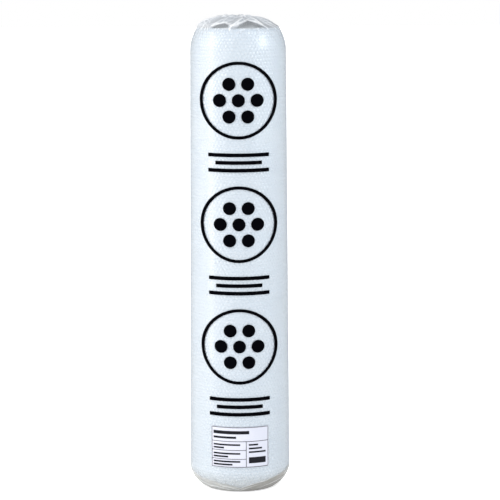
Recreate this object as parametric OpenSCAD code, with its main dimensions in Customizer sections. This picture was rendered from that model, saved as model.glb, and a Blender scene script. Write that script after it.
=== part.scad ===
// A roll of bubble sheeting that stands on one end in a clear film sleeve.
// The roll is wound hollow, with no core. The sleeve is one tube of thin film:
// both of its ends are gathered over the roll's ends and tucked into the winding
// hole, so the roll can't be reached until the film is cut. Plain ink marks and a
// paper label are on the front, which faces -Y. The foot of the sleeve is at z = 0.

/* [Roll] */
// Width of the sheeting, which is the length of the roll
roll_length = 1660; // [900:10:2000]
// Diameter of the roll at its foot, where its weight spreads the turns
foot_d = 362; // [300:1:450]
// Diameter of the roll at its head
head_d = 342; // [300:1:450]
// Diameter of the winding hole
bore_d = 90; // [76:1:140]
// Thickness of one turn of the sheeting, with its bubbles
turn_pitch = 4; // [3:0.5:8]
// Height of the bubbles of the outermost turn, which the film presses low
bubble_h = 2.4; // [1:0.1:3.5]
// Distance between two rows of bubbles, up the roll
row_pitch = 12.5; // [12.5:0.5:30]
// Open gap between two turns, as seen at the roll's ends
turn_gap = 1.2; // [0.6:0.1:2]
// Depth to which that gap stays open
turn_gap_depth = 8; // [3:1:20]
// How far the innermost turn stands out at the head, and is set back at the foot
wind_out = 20; // [0:1:22]
// How far the film draws the outer turns in at the head
head_rim_inset = 27; // [15:1:45]
// Height over which it draws them in at the head
head_rim_h = 84; // [50:1:110]
// How far the film and the roll's weight draw the outer turns in at the foot
foot_rim_inset = 49; // [20:1:55]
// Height over which they are drawn in at the foot
foot_rim_h = 88; // [50:1:110]

/* [Film sleeve] */
// Thickness of the film's wall
film_t = 0.6; // [0.4:0.1:1]
// Clearance between the film and the roll
film_gap = 0.4; // [0.3:0.1:1]
// Folds over the head: the angle of each on the rim, from +X towards +Y
head_folds = [15, 45, 75, 105, 130, 160, 190, 225, 255, 315, 345];
// Angle at which each of them reaches the gather
head_fold_ends = [358, 389, 424, 465, 500, 538, 573, 610, 658, 682, 701];
// Height of each of them, as a share
head_fold_sizes = [0.8, 0.5, 0.9, 0.6, 1, 0.6, 1.2, 0.6, 1, 1, 0.7];
// Folds round the foot: the angle of each on the rim
foot_folds = [20, 55, 90, 125, 160, 195, 215, 240, 265, 300, 335];
// Angle at which each of them reaches the winding hole
foot_fold_ends = [28, 70, 105, 145, 190, 232, 256, 272, 284, 294, 340];
// Height of each of them, as a share
foot_fold_sizes = [0.7, 1, 0.6, 1, 0.7, 0.9, 0.6, 1, 0.8, 0.9, 0.7];
// Height of the loose gather above the roll's head, before its folds
gather_h = 38; // [32:1:60]
// How far the gather leans towards -X
gather_lean = 8; // [0:1:12]
// Radius of the tucked tail inside the winding hole
tail_r = 30; // [26:1:34]
// Length of tail that is tucked into the winding hole
tail_length = 150; // [90:5:300]
// Height of the folds in the tucked tails
tail_fold = 17; // [6:1:19]
// Height of the folds in the loose gather
gather_fold = 5; // [2:0.5:8]
// Height of the ridges that the pulled film stands in over the head
ridge_h = 9; // [3:0.5:14]
// Height of the folds round the foot
foot_fold = 5; // [1:0.5:6]
// Depth of the creases pressed under the foot
foot_crease = 1; // [0.5:0.1:2]

/* [Ink marks] */
// Diameter of each ring mark
ring_d = 272; // [252:1:290]
// Width of the ring's line
ring_line = 11; // [4:1:14]
// Diameter of each dot in a ring
dot_d = 46; // [20:1:48]
// Distance between the centres of two dots
dot_pitch = 66; // [50:1:88]
// Lengths of the bars in the stack below each ring, from the top
bar_lengths = [230, 170, 230];
// Height of a bar
bar_h = 13; // [5:1:20]
// Distance between the centres of two bars
bar_pitch = 27; // [22:1:40]
// Clear height between a ring and a stack of bars
mark_gap = 49; // [20:1:80]
// Clear height between the label and the lowest stack of bars
print_gap = 39; // [10:1:80]
// Thickness of the ink as modelled
ink_t = 0.25; // [0.2:0.05:0.5]

/* [Label] */
// Width of the paper label, measured round the roll
label_w = 216; // [100:1:260]
// Height of the paper label
label_h = 148; // [80:1:200]
// Clear height between the drawn-in foot and the label
label_gap = 11; // [2:1:60]
// Thickness of the paper
label_t = 0.3; // [0.2:0.05:0.6]
// Width of the ruled lines on the label
rule_w = 1.8; // [1:0.1:3]
// Bare paper round the label's frame
label_margin = 1; // [0.5:0.5:10]

/* [Hidden] */

$fn = 96;
circle_deg = 360;
half_deg = 180;

// A cutter runs this far past the face that it cuts.
clear = 1;

// A film solid lies this far from what it is laid on.
seat = 0.3;

// Number of points round the film's wall, which is a grid of them.
around = 72;

// Where the roll lies inside the sleeve.
roll_z0 = film_t + foot_crease + film_gap;
roll_z1 = roll_z0 + roll_length;

// The roll is wound as a spiral, so its radius grows by one turn in a full circle.
foot_r = (foot_d - turn_pitch) / 2;
head_r = (head_d - turn_pitch) / 2;
bore_r = bore_d / 2;

// Radius of the flat part of each end, inside the rim that is drawn in.
foot_flat_r = foot_r - foot_rim_inset;
head_flat_r = head_r - head_rim_inset;

// A drawn-in rim is a curve: at the share s of its height it is drawn in by this share.
rim_steps = 5;
head_rim_power = 2;
foot_rim_power = 2.5;
function rim_share(s, power) = pow(s, power);
function rim_normal(s, power, inset, h) = atan(inset * power * pow(s, power - 1) / h);
function rim_radius(r, s, power, inset) = r - inset * rim_share(s, power);

// The sleeve is a polygon in section, so it is widened until its flats clear the roll.
air_gap = film_gap + film_t;
widen = 1 / cos(half_deg / around);

// Radius of the sleeve's air side at a height on its straight stretch.
sleeve_z0 = roll_z0 + foot_rim_h;
sleeve_z1 = roll_z1 - head_rim_h;
sleeve_slope = (head_r - foot_r) / (sleeve_z1 - sleeve_z0);
function sleeve_r(z) = (foot_r + air_gap + sleeve_slope * (z - sleeve_z0)) * widen;

// The label stands just above the drawn-in foot, and the marks stand above it: stacks of
// bars and rings in turn, as many as the straight stretch of the sleeve has room for.
label_z = sleeve_z0 + label_gap;
stack_h = (len(bar_lengths) - 1) * bar_pitch + bar_h;
stack_z = label_z + label_h + print_gap;
ring_z = stack_z + stack_h + mark_gap + ring_d / 2;
ring_pitch = ring_d + stack_h + 2 * mark_gap;
rings = floor((sleeve_z1 - ring_z - ring_d / 2) / ring_pitch) + 1;

function shifted(points, dx) = [for (p = points) [p[0] + dx, p[1]]];

// The turns slip as they are wound, so both ends rise evenly from the rim to the hole.
function end_rise(r, flat_r) = wind_out * (flat_r - r) / (flat_r - bore_r);

// The bubbles of the outermost turn stand in rows. On the roll's straight stretch each
// row is a rib all the way round, with a dip half way to the next one. A dip is as wide as
// half the pitch.
row_count = floor((sleeve_z1 - sleeve_z0) / row_pitch);
function row_radius(z) = foot_r + sleeve_slope * (z - sleeve_z0);
dip = [[0.25, 0], [0.5, bubble_h], [0.75, 0]];
bubble_rows = [for (i = [0:row_count - 1]) for (p = dip)
    let (z = sleeve_z0 + (i + p[0]) * row_pitch)
    [row_radius(z) - p[1], z]];

// Outer outline of the roll from the foot to the head, with both rims drawn in.
roll_outline = concat(
    [for (i = [rim_steps:-1:0]) let (s = i / rim_steps)
        [rim_radius(foot_r, s, foot_rim_power, foot_rim_inset), sleeve_z0 - s * foot_rim_h]],
    bubble_rows,
    [for (i = [0:rim_steps]) let (s = i / rim_steps)
        [rim_radius(head_r, s, head_rim_power, head_rim_inset), sleeve_z1 + s * head_rim_h]]
);

// The turns run in a spiral drawn with half circles: the second half of each turn has
// its centre half a pitch towards the sheet's free edge, which lies at the back.
free_edge_angle = 142;

// Half a turn of the wound body.
module half_body(grow) {
    inner = bore_r / 2;
    rotate_extrude(angle = half_deg)
        polygon(concat(
            [[inner, roll_z0 + end_rise(inner, foot_flat_r)]],
            shifted(roll_outline, grow),
            [[inner, roll_z1 + end_rise(inner, head_flat_r)]]
        ));
}

// One gap between two turns, half a turn long.
module half_gap(r, z, h) {
    rotate_extrude(angle = half_deg)
        translate([r - turn_gap / 2, z])
            square([turn_gap, h]);
}

// The spiral gap that shows at one end, from the winding hole to the drawn-in rim. It is
// turn_gap_depth deep below the end's rise, which starts from end_z at flat_r.
module spiral_gap(flat_r, end_z, at_head) {
    turns = floor((flat_r - bore_r) / turn_pitch) - 1;
    for (n = [1:turns]) {
        r = bore_r + n * turn_pitch;
        rise = end_rise(r, flat_r);
        z = at_head ? end_z + rise - turn_gap_depth : end_z - clear;
        h = turn_gap_depth + clear + (at_head ? 0 : rise);
        half_gap(r, z, h);
        translate([turn_pitch / 2, 0, 0])
            rotate([0, 0, half_deg])
                half_gap(r + turn_pitch / 2, z, h);
    }
}

module bubble_roll() {
    color([0.88, 0.93, 0.97])
        rotate([0, 0, free_edge_angle])
            difference() {
                union() {
                    half_body(0);
                    translate([turn_pitch / 2, 0, 0])
                        rotate([0, 0, half_deg])
                            half_body(turn_pitch / 2);
                }
                translate([0, 0, roll_z0 - clear])
                    cylinder(r = bore_r, h = roll_length + end_rise(0, head_flat_r) + 2 * clear);
                spiral_gap(foot_flat_r, roll_z0, false);
                spiral_gap(head_flat_r, roll_z1, true);
            }
}

// How much the spiral of the roll widens the sleeve at an angle. The film bridges the
// step at the sheet's free edge.
edge_cover = 1.2 * circle_deg / around;
function spiral_growth(a) = let (t = (a - free_edge_angle + 2 * circle_deg) % circle_deg)
    t < edge_cover ? turn_pitch :
    t < 3 * edge_cover ? turn_pitch * (3 * edge_cover - t) / (2 * edge_cover) :
    t < half_deg ? 0 : turn_pitch / 2 * (1 + cos(t));

// The sleeve's wall is a stack of rings, from the end of the head's tail to the end of
// the foot's tail. Each row holds the ring's radius and height on the air side, the
// direction of the air (0 is outwards, 90 is up), the height of the folds there, how
// sharp they are, the depth of pressed creases, the share of the gathering, and the
// share of the roll's spiral.
crown_arc_r = 17;
crown_r = tail_r + crown_arc_r;
crown_z = roll_z1 + gather_h - crown_arc_r;
crown_end = 50;
slope_r0 = crown_r + crown_arc_r * cos(crown_end);
slope_z0 = crown_z + crown_arc_r * sin(crown_end);
slope_r1 = head_flat_r - 6;
slope_z1 = roll_z1 + 4;
slope_power = 1.8;

// On the head's slope the air's direction falls from 80 degrees towards the rim, and the
// folds swell with the sine of an angle that grows down the slope.
slope_air = 80;
slope_air_fall = 34;
ridge_swell = 110;

// The fold grows from the tail to the slope and dies out down the rim.
head_tail_rows = [for (d = [tail_length, tail_length * 0.4, 0])
    [tail_r, roll_z1 - d, half_deg, tail_fold, 1, 0, 1, 0]];
crown_rows = [for (a = [half_deg, 135, 90, crown_end])
    [crown_r + crown_arc_r * cos(a), crown_z + crown_arc_r * sin(a), a,
     tail_fold + (gather_fold - tail_fold) * (half_deg - a) / (half_deg - crown_end), 1.2, 0, 1, 0]];
slope_rows = [for (t = [0.24, 0.48, 0.72, 0.9])
    [slope_r0 + (slope_r1 - slope_r0) * t,
     slope_z0 + (slope_z1 - slope_z0) * pow(t, slope_power),
     slope_air - slope_air_fall * t * t,
     gather_fold + (ridge_h - gather_fold) * sin(ridge_swell * t), 1.3, 0,
     1 - t * 0.8, 0]];
head_rim_rows = [for (i = [rim_steps:-1:0])
    let (s = i / rim_steps, t = rim_normal(s, head_rim_power, head_rim_inset, head_rim_h))
    [(rim_radius(head_r, s, head_rim_power, head_rim_inset) + air_gap * cos(t)) * widen,
     sleeve_z1 + s * head_rim_h + air_gap * sin(t), t,
     ridge_h * 0.45 * pow(s, 4), 1.5, 0, 0.1 * s * s, 1]];
foot_rim_rows = [for (i = [0:rim_steps])
    let (s = i / rim_steps, t = rim_normal(s, foot_rim_power, foot_rim_inset, foot_rim_h))
    [(rim_radius(foot_r, s, foot_rim_power, foot_rim_inset) + air_gap * cos(t)) * widen,
     sleeve_z0 - s * foot_rim_h - air_gap * sin(t), -t,
     i == rim_steps ? 0 : foot_fold * sin(half_deg * pow(s, 0.8)), 2.2, 0, 0.45 * s * s, 1]];

// Under the foot the film is pressed flat. At the winding hole it turns upwards, clear
// of the hole's edge, and its folds grow as it narrows to the tail.
press_inset = 6;
hole_gap = 7;
turn_h = 42;
tuck_r = bore_r - hole_gap;
tuck_rows = [
    [foot_flat_r - press_inset, 0, -90, 0, 1, foot_crease, 0.5, 1],
    [(foot_flat_r + bore_r) / 2, 0, -90, 0, 1, foot_crease, 0.75, 0],
    [bore_r, 0, -90, 0, 1, foot_crease, 1, 0],
    [tuck_r, turn_h * 0.1, -135, tail_fold * 0.2, 1, 0, 1, 0],
    [tail_r + (tuck_r - tail_r) * 0.4, turn_h * 0.4, -160, tail_fold * 0.6, 1, 0, 1, 0],
    [tail_r, turn_h, -180, tail_fold, 1, 0, 1, 0],
    [tail_r, tail_length, -180, tail_fold, 1, 0, 1, 0]
];
head_rows = concat(head_tail_rows, crown_rows, slope_rows, head_rim_rows);
foot_rows = concat(foot_rim_rows, tuck_rows);

// The folds of one end as a table that runs past a full circle on both sides.
function fold_table(rim, ends, sizes) =
    let (last = len(rim) - 1)
    concat([[rim[last] - circle_deg, ends[last] - circle_deg, sizes[last]]],
           [for (i = [0:last]) [rim[i], ends[i], sizes[i]]],
           [[rim[0] + circle_deg, ends[0] + circle_deg, sizes[0]]]);
head_turns_back = [for (f = head_folds) circle_deg];
head_table = fold_table(head_folds, head_fold_ends - head_turns_back, head_fold_sizes);
foot_table = fold_table(foot_folds, foot_fold_ends, foot_fold_sizes);

// Which two folds an angle on the rim lies between, and how far along.
function fold_before(a, table) = max([for (i = [0:len(table) - 2]) table[i][0] <= a ? i : 0]);

// Each fold is a crest, and the film sags to nothing half way to the next one.
function fold_height(a, table, sharp) =
    let (i = fold_before(a, table), p = table[i], q = table[i + 1],
         u = (a - p[0]) / (q[0] - p[0]))
    (p[2] + (q[2] - p[2]) * u) * pow(abs(1 - 2 * u), sharp);
function is_crease(a, table) = min([for (p = table) abs(a - p[0])]) < half_deg / around;

// Angle of a grid line that starts at an angle on the rim, after a share of the gathering.
function gathered(a, table, share) = a + share * (lookup(a, [for (p = table) [p[0], p[1]]]) - a);

// A point of the film's wall, set back from the air side by depth.
function film_point(row, k, table, lean_h, depth) =
    let (a0 = circle_deg * k / around,
         a = gathered(a0, table, row[6]),
         base_r = row[0] + spiral_growth(a) * row[7],
         fold = row[3] * fold_height(a0, table, row[4]),
         out = fold - (is_crease(a0, table) ? row[5] : 0) - depth,
         r = base_r + out * cos(row[2]),
         z = row[1] + out * sin(row[2]),
         lean = lean_h * min(1, max(0, (z - roll_z1) / 12)))
    [r * cos(a) - lean, r * sin(a), z];

// Faces between two rings of points that start at index a and b. Each four points are
// split along their shorter diagonal, so that the film never cuts a corner of the roll.
function band(points, a, b, flip) = [for (k = [0:around - 1])
    let (n = (k + 1) % around,
         short = norm(points[a + k] - points[b + n]) < norm(points[a + n] - points[b + k]),
         p = [a + k, a + n, short ? b + n : b + k],
         q = [short ? a + k : a + n, b + n, b + k])
    each flip ? [[p[0], p[2], p[1]], [q[0], q[2], q[1]]] : [p, q]];

module film_sleeve() {
    rows = len(head_rows) + len(foot_rows);
    inner = rows * around;
    points = [for (depth = [0, film_t]) each concat(
        [for (row = head_rows) for (k = [0:around - 1])
            film_point(row, k, head_table, gather_lean, depth)],
        [for (row = foot_rows) for (k = [0:around - 1])
            film_point(row, k, foot_table, 0, depth)])];
    air_side = [for (i = [0:rows - 2]) each band(points, i * around, (i + 1) * around, true)];
    roll_side = [for (i = [0:rows - 2])
        each band(points, inner + i * around, inner + (i + 1) * around, false)];
    cut_ends = concat(band(points, 0, inner, false),
                      band(points, (rows - 1) * around, inner + (rows - 1) * around, true));
    color([0.86, 0.91, 0.95, 0.35])
        polyhedron(points = points, faces = concat(air_side, roll_side, cut_ends), convexity = 10);
}

// A patch laid on the sleeve: part of a cone that follows its taper. Its middle is at
// the given angle from the front, and its width is measured round the sleeve.
module sleeve_patch(z0, z1, width, angle, lift, t) {
    sweep = width / sleeve_r((z0 + z1) / 2) * half_deg / PI;
    rotate([0, 0, -90 + angle - sweep / 2])
        rotate_extrude(angle = sweep)
            polygon([
                [sleeve_r(z0) + lift, z0],
                [sleeve_r(z0) + lift + t, z0],
                [sleeve_r(z1) + lift + t, z1],
                [sleeve_r(z1) + lift, z1]
            ]);
}

// A mark of any outline, laid on the front of the sleeve. Its outline is its front view.
// The patch that it is cut from is larger than the mark by an overrun.
overrun = 2;
module front_mark(z, size, lift, t) {
    intersection() {
        sleeve_patch(z - size / 2 - overrun, z + size / 2 + overrun, size * 2, 0, lift, t);
        translate([0, 0, z])
            rotate([90, 0, 0])
                linear_extrude(height = foot_d)
                    children();
    }
}

// A ring, with a dot in its middle and six more packed round that one.
module ring_mark(z) {
    front_mark(z, ring_d, seat, ink_t) {
        difference() {
            circle(d = ring_d);
            circle(d = ring_d - 2 * ring_line);
        }
        circle(d = dot_d);
        for (a = [0:60:300])
            rotate([0, 0, a])
                translate([dot_pitch, 0])
                    circle(d = dot_d);
    }
}

// A stack of bars. Its lower edge is at z.
module bar_stack(z) {
    last = len(bar_lengths) - 1;
    for (i = [0:last]) {
        bar_z = z + (last - i) * bar_pitch;
        sleeve_patch(bar_z, bar_z + bar_h, bar_lengths[i], 0, seat, ink_t);
    }
}

module film_print() {
    color([0.04, 0.04, 0.045])
        for (i = [0:rings - 1]) {
            ring_mark(ring_z + i * ring_pitch);
            bar_stack(stack_z + i * ring_pitch);
        }
}

module paper_label() {
    color([0.95, 0.95, 0.99])
        sleeve_patch(label_z, label_z + label_h, label_w, 0, seat, label_t);
}

// Where a point of the label lies in the front view: across counts round the roll from
// the label's left edge, up counts from its lower edge.
label_r = sleeve_r(label_z + label_h / 2);
function label_x(across) = label_r * sin((across - label_w / 2) / label_r * half_deg / PI);

// A printed field in the front view of the label, by its left edge, its foot and size.
module label_field(across, up, w, h) {
    x0 = label_x(across);
    x1 = label_x(across + w);
    translate([x0, up - label_h / 2])
        square([x1 - x0, h]);
}

module label_art() {
    w = label_w - 2 * label_margin;
    h = label_h - 2 * label_margin;
    x0 = label_margin;
    z0 = label_margin;
    split = w * 0.6;
    shelves = [0.2, 0.42, 0.64];
    bar = h * 0.05;
    inset = w * 0.035;

    // The frame, and the rules that part it into cells.
    label_field(x0, z0, w, rule_w);
    label_field(x0, z0 + h - rule_w, w, rule_w);
    label_field(x0, z0, rule_w, h);
    label_field(x0 + w - rule_w, z0, rule_w, h);
    label_field(x0, z0 + h * shelves[2], w, rule_w);
    label_field(x0 + split, z0, rule_w, h * shelves[2]);
    for (i = [0, 1])
        label_field(x0, z0 + h * shelves[i], split, rule_w);

    // Plain bars stand in for the lines of print: two in the head, some in each cell.
    label_field(x0 + inset, z0 + h * 0.83, w * 0.62, bar * 1.6);
    label_field(x0 + inset, z0 + h * 0.72, w * 0.4, bar);
    for (i = [0:2]) {
        foot = z0 + h * (i == 0 ? 0 : shelves[i - 1]) + rule_w;
        label_field(x0 + inset, foot + h * 0.11, split * 0.78, bar * 0.8);
        label_field(x0 + inset, foot + h * 0.035, split * (0.56 - 0.12 * i), bar * 0.8);
    }
    label_field(x0 + split + inset * 1.4, z0 + h * 0.1, w * 0.3, h * 0.15);
    for (i = [0:2])
        label_field(x0 + split + inset * 1.4, z0 + h * (0.36 + 0.09 * i), w * (0.3 - 0.07 * i), bar * 0.8);
}

module label_print() {
    color([0.16, 0.16, 0.18])
        front_mark(label_z + label_h / 2, label_h, seat * 2 + label_t, ink_t)
            label_art();
}

bubble_roll();
film_sleeve();
film_print();
paper_label();
label_print();
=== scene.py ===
# %% [markdown]
# # A roll of bubble sheeting in a clear film sleeve
# The object is a tall roll of bubble sheeting that stands on one end. A tube of clear
# film is pulled over it, and both of its ends are gathered and tucked into the winding
# hole. The film carries plain black marks, and a paper label is on its front.
#
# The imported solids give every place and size. This notebook gives them their looks:
# the bubbles, the turns at the roll's ends, the creased film, the inks and the light.

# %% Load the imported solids
import math

import bpy
import numpy as np
from mathutils import Matrix, Vector


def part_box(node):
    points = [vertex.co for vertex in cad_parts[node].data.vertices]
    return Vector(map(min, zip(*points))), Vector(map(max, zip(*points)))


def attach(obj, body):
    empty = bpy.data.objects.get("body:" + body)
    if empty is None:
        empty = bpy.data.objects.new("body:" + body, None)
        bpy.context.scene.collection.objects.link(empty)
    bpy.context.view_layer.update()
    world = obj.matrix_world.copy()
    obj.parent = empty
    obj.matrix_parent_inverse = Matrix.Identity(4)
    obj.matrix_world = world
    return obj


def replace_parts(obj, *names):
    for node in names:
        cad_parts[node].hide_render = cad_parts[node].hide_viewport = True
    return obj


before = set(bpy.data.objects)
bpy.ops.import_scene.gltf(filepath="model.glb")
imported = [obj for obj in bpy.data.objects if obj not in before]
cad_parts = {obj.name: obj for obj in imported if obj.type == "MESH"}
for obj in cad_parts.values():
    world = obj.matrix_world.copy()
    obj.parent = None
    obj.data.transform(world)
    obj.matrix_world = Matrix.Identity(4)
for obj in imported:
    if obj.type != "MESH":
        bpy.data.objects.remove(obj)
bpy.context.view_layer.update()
roll_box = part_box("bubble_roll")

# %% [markdown]
# The film and the bubbles must follow the solids closely, so these sizes, in metres,
# are the same as theirs. Both ends of the roll are drawn in by the film along a curve,
# and the innermost turn stands out at the head and is set back at the foot.

# %% Sizes of the roll
TURN = 0.004
FOOT_R = (0.362 - TURN) / 2
HEAD_R = (0.342 - TURN) / 2
BORE_R = 0.045
WIND_OUT = 0.020
HEAD_INSET, HEAD_RIM_H, HEAD_POWER = 0.027, 0.084, 2.0
FOOT_INSET, FOOT_RIM_H, FOOT_POWER = 0.049, 0.088, 2.5
HEAD_FLAT_R = HEAD_R - HEAD_INSET
FOOT_FLAT_R = FOOT_R - FOOT_INSET
ROLL_LENGTH = 1.660
ROLL_Z0 = roll_box[0][2]
ROLL_Z1 = ROLL_Z0 + ROLL_LENGTH
STRAIGHT_Z0 = ROLL_Z0 + FOOT_RIM_H
STRAIGHT_Z1 = ROLL_Z1 - HEAD_RIM_H
AIR_GAP = 0.001
print("the roll's straight stretch runs from", round(STRAIGHT_Z0, 4), "to", round(STRAIGHT_Z1, 4))

# %% [markdown]
# The roll is wound as a spiral: its radius is least for half a circle after the free
# edge at the back, and then grows by a whole turn of sheeting. A plain cylinder would
# do for the side, but then the free edge would be lost, and the turns at both ends
# would close up as rings. So the growth is a function that every piece adds.

# %% The roll's surface
FREE_EDGE = math.radians(142)


def roll_radius(z):
    """Least radius at a height: a cone, less inset x (share of the rim's height) ** power."""
    t = (z - STRAIGHT_Z0) / (STRAIGHT_Z1 - STRAIGHT_Z0)
    cone = FOOT_R + (HEAD_R - FOOT_R) * np.clip(t, 0, 1)
    head = np.clip((z - STRAIGHT_Z1) / HEAD_RIM_H, 0, 1)
    foot = np.clip((STRAIGHT_Z0 - z) / FOOT_RIM_H, 0, 1)
    return cone - HEAD_INSET * head**HEAD_POWER - FOOT_INSET * foot**FOOT_POWER


def spiral_growth(angle):
    """What the winding adds to the radius: 0 for half a circle, then (1 + cos t) / 2 turns."""
    t = np.mod(angle - FREE_EDGE, 2 * np.pi)
    return np.where(t < np.pi, 0.0, TURN / 2 * (1 + np.cos(t)))


def end_rise(r, flat_r):
    """How far an end stands out at a radius, as the turns slipped in the winding."""
    return WIND_OUT * np.clip((flat_r - r) / (flat_r - BORE_R), 0, 1)


print("the roll is", round(2000 * FOOT_R), "mm across at the foot,", round(2000 * HEAD_R), "at the head")

# %% [markdown]
# Every new piece is a grid of points, worked out as whole numpy arrays. Blender could
# add primitives and edit them one by one, but a grid gives each point its exact place
# on the roll at once. These helpers turn arrays into a mesh that rides on the one body.

# %% Helpers for meshes
def grid_faces(rows, cols, closed_rows=False):
    """Quads of a grid that is closed round its columns, numbered row by row."""
    i, j = np.meshgrid(np.arange(rows if closed_rows else rows - 1), np.arange(cols), indexing="ij")
    i2, j2 = (i + 1) % rows, (j + 1) % cols
    return np.stack([i * cols + j, i2 * cols + j, i2 * cols + j2, i * cols + j2], -1).reshape(-1, 4)


def ring_points(r, angle, z):
    """Points from cylinder coordinates."""
    r, angle, z = np.broadcast_arrays(r, angle, z)
    return np.stack([r * np.cos(angle), r * np.sin(angle), z], -1)


def mesh_piece(name, points, faces, material):
    """Makes a smooth object at the origin from points (n, 3) and faces (m, corners)."""
    corners = faces.shape[1]
    mesh = bpy.data.meshes.new(name)
    mesh.vertices.add(len(points))
    mesh.vertices.foreach_set("co", points.astype(np.float32).ravel())
    mesh.loops.add(faces.size)
    mesh.loops.foreach_set("vertex_index", faces.astype(np.int32).ravel())
    mesh.polygons.add(len(faces))
    mesh.polygons.foreach_set("loop_start", np.arange(len(faces), dtype=np.int32) * corners)
    mesh.polygons.foreach_set("use_smooth", np.ones(len(faces), dtype=bool))
    mesh.update(calc_edges=True)
    mesh.materials.append(material)
    piece = bpy.data.objects.new(name, mesh)
    bpy.context.scene.collection.objects.link(piece)
    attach(piece, "root")
    print(name, "has", len(points), "points and", len(faces) * (corners - 2), "triangles")
    return piece


def paint(piece, name, values):
    """Stores one number a point, which a material reads by its name."""
    layer = piece.data.attributes.new(name, "FLOAT", "POINT")
    layer.data.foreach_set("value", np.asarray(values, np.float32).ravel())


# %% [markdown]
# Materials are built from nodes with one small helper: it makes a node, and each input
# that it is given is either set to a value or linked to a socket.

# %% Helpers for materials
def node(tree, kind, inputs=None, **settings):
    """Makes a node, and sets or links each of the inputs given."""
    made = tree.nodes.new(kind)
    for key, value in settings.items():
        setattr(made, key, value)
    for key, value in (inputs or {}).items():
        if isinstance(value, bpy.types.NodeSocket):
            tree.links.new(value, made.inputs[key])
        else:
            made.inputs[key].default_value = value
    return made


def new_material(name):
    material = bpy.data.materials.new(name)
    material.use_nodes = True
    material.node_tree.nodes.clear()
    return material, material.node_tree


def blend(tree, share, a, b, kind="MIX"):
    """Mixes two colours; b takes over as the share goes to 1."""
    made = node(tree, "ShaderNodeMix", {0: share, 6: a, 7: b}, data_type="RGBA", blend_type=kind)
    return made.outputs[2]


def maths(tree, operation, a, b=0.0, c=0.0, clamp=False):
    made = node(tree, "ShaderNodeMath", {0: a, 1: b, 2: c}, operation=operation, use_clamp=clamp)
    return made.outputs[0]


def attribute(tree, name):
    return node(tree, "ShaderNodeAttribute", attribute_name=name).outputs["Fac"]


def object_place(tree, scale=(1, 1, 1)):
    """Object coordinates, which can be stretched along an axis."""
    place = node(tree, "ShaderNodeTexCoord").outputs["Object"]
    return node(tree, "ShaderNodeMapping", {"Vector": place, "Scale": scale}).outputs["Vector"]


# %% [markdown]
# No finish on the roll is one flat colour: the sheeting is a little cloudy, and ink and
# paper have a faint grain. That is one effect at different sizes, so it is a node group,
# which is built once: a noise that tints a colour between a low and a high tint.

# %% The uneven tint
def uneven_tint_group():
    """Tinted = colour x (low + (high - low) x noise)."""
    group = bpy.data.node_groups.new("uneven_tint", "ShaderNodeTree")
    for name, kind in (("Place", "Vector"), ("Scale", "Float"), ("Detail", "Float"),
                       ("Colour", "Color"), ("Low", "Color"), ("High", "Color")):
        group.interface.new_socket(name=name, in_out="INPUT", socket_type="NodeSocket" + kind)
    group.interface.new_socket(name="Tinted", in_out="OUTPUT", socket_type="NodeSocketColor")
    given = node(group, "NodeGroupInput").outputs
    noise_inputs = {"Vector": given["Place"], "Scale": given["Scale"], "Detail": given["Detail"]}
    noise = node(group, "ShaderNodeTexNoise", noise_inputs).outputs["Fac"]
    tint = blend(group, noise, given["Low"], given["High"])
    node(group, "NodeGroupOutput", {"Tinted": blend(group, 1.0, given["Colour"], tint, "MULTIPLY")})
    return group


uneven_tint = uneven_tint_group()


def tinted(tree, colour, scale, detail, low, high):
    """Places the group in a material, with its values, and gives the tinted colour."""
    inputs = {"Place": object_place(tree), "Scale": scale, "Detail": detail}
    inputs.update({"Colour": colour, "Low": low, "High": high})
    return node(tree, "ShaderNodeGroup", inputs, node_tree=uneven_tint).outputs["Tinted"]


print("made the group", uneven_tint.name, "with", len(uneven_tint.nodes), "nodes")

# %% [markdown]
# The bubble sheeting is clear, but so many layers of it look white with a cold tint.
# Real clear bubbles in so many layers would take the light hundreds of steps, so the
# roll is an opaque gloss with that white. A point's "dome" value says how high it stands
# on its bubble, and the colour is painted lighter towards the crowns and darker between
# the bubbles, as a painted highlight and painted shade. "edge" marks the cut turns at the
# two ends and the winding hole, which are painted greyer as shade, because the turns
# shade one another, darkest in the gaps between the turns.

# %% Material of the bubble sheeting
# The low tint is painted shade between the bubbles, and the high one a painted highlight on their crowns.
SHEET_SHADED_LOW = (0.598, 0.662, 0.725, 1)
SHEET_LIT_HIGH = (0.683, 0.72, 0.772, 1)
# The grey of the cut turns and the winding hole is painted shade.
SHEET_CUT_SHADE = (0.20, 0.195, 0.185, 1)
CLOUD_LOW, CLOUD_HIGH = (0.92, 0.94, 0.97, 1), (1.06, 1.04, 1.02, 1)


def bubble_material():
    material, tree = new_material("bubble_sheet")
    # Painted shade between the bubbles, and a painted highlight towards their crowns.
    dome = blend(tree, attribute(tree, "dome"), SHEET_SHADED_LOW, SHEET_LIT_HIGH)
    side = tinted(tree, dome, 9.0, 4.0, CLOUD_LOW, CLOUD_HIGH)
    # The cut turns and the winding hole are painted in the shade grey.
    colour = blend(tree, attribute(tree, "edge"), side, SHEET_CUT_SHADE)
    inputs = {"Base Color": colour, "Roughness": 0.25, "IOR": 1.6, "Specular IOR Level": 1.0}
    shader = node(tree, "ShaderNodeBsdfPrincipled", inputs)
    node(tree, "ShaderNodeOutputMaterial", {"Surface": shader.outputs["BSDF"]})
    return material


bubble_sheet = bubble_material()
print("made", bubble_sheet.name)

# %% [markdown]
# An end of the roll shows its turns edge-on. They could be a picture of rings or a
# bump, but the clear windows in the film show them from close by, so they are real
# dips, which follow the spiral. Each turn also lies a little deeper or higher than the
# next, because a wound roll is never quite even.

# %% The turns at the roll's ends
BUBBLE_H = 0.0017
BODY_AROUND = 240
SAMPLES_A_TURN = 7
GAP_DEPTH = 0.004
SLACK_DEPTH = 0.0015


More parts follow.
